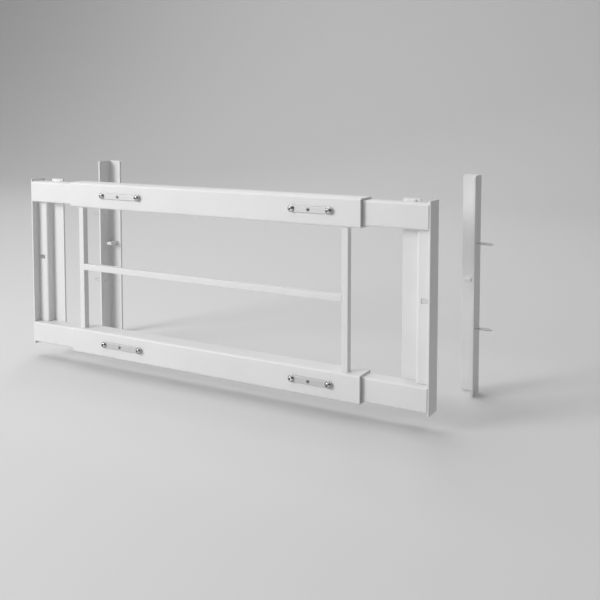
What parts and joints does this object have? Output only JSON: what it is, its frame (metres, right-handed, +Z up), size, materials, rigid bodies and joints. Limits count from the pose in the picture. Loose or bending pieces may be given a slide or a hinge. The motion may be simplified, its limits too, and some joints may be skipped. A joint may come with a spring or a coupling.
{
  "type": "window security bar",
  "caption": "Telescoping steel window guard: two sleeves with a mid bar, sliding end frames with slotted plates, and jamb brackets whose lugs enter the slots.",
  "frame": {"origin": "middle of the whole set's bounding box, on the sleeves' middle and at mid height", "axes": "+X across the window to the right as seen from the room, +Y from the room towards the window, +Z up"},
  "size_m": [0.7406, 0.2006, 0.31],
  "materials": {
    "guard_white": "satin white powder coat",
    "bracket_white": "satin white powder coat",
    "plate_zinc": "satin zinc plate",
    "screw_steel": "bright zinc plate",
    "rivet_steel": "dull zinc plate",
    "jamb_screw_zinc": "bright zinc plate"
  },
  "bodies": {
    "centre_frame": {"top_sleeve": "guard_white", "bottom_sleeve": "guard_white", "left_upright": "guard_white", "right_upright": "guard_white", "mid_bar": "guard_white", "top_left_lock_plate": "plate_zinc", "top_left_clamp_screws": "screw_steel", "top_left_plate_rivet": "rivet_steel", "top_right_lock_plate": "plate_zinc", "top_right_clamp_screws": "screw_steel", "top_right_plate_rivet": "rivet_steel", "bottom_left_lock_plate": "plate_zinc", "bottom_left_clamp_screws": "screw_steel", "bottom_left_plate_rivet": "rivet_steel", "bottom_right_lock_plate": "plate_zinc", "bottom_right_clamp_screws": "screw_steel", "bottom_right_plate_rivet": "rivet_steel"},
    "left_end": {"left_top_rail": "guard_white", "left_bottom_rail": "guard_white", "left_side_plate": "guard_white", "left_stepped_plate": "guard_white"},
    "right_end": {"right_top_rail": "guard_white", "right_bottom_rail": "guard_white", "right_side_plate": "guard_white", "right_stepped_plate": "guard_white"},
    "left_bracket": {"left_jamb_bracket": "bracket_white", "left_jamb_lug": "bracket_white", "left_jamb_screws": "jamb_screw_zinc"},
    "right_bracket": {"right_jamb_bracket": "bracket_white", "right_jamb_lug": "bracket_white", "right_jamb_screws": "jamb_screw_zinc"}
  },
  "joints": [
    {"name": "left_end_slide", "type": "slide", "parent": "centre_frame", "child": "left_end", "axis": [1, 0, 0], "range_m": [-0.055, 0.045]},
    {"name": "right_end_slide", "type": "slide", "parent": "centre_frame", "child": "right_end", "axis": [-1, 0, 0], "range_m": [-0.055, 0.045]},
    {"name": "left_bracket_seat", "type": "slide", "parent": "left_end", "child": "left_bracket", "axis": [0, -1, 0], "range_m": [0, 0.157]},
    {"name": "right_bracket_seat", "type": "slide", "parent": "right_end", "child": "right_bracket", "axis": [0, -1, 0], "range_m": [0, 0.157]}
  ],
  "couplings": [
    {"joint": "right_bracket_seat", "follows": "left_bracket_seat", "ratio": 1}
  ]
}
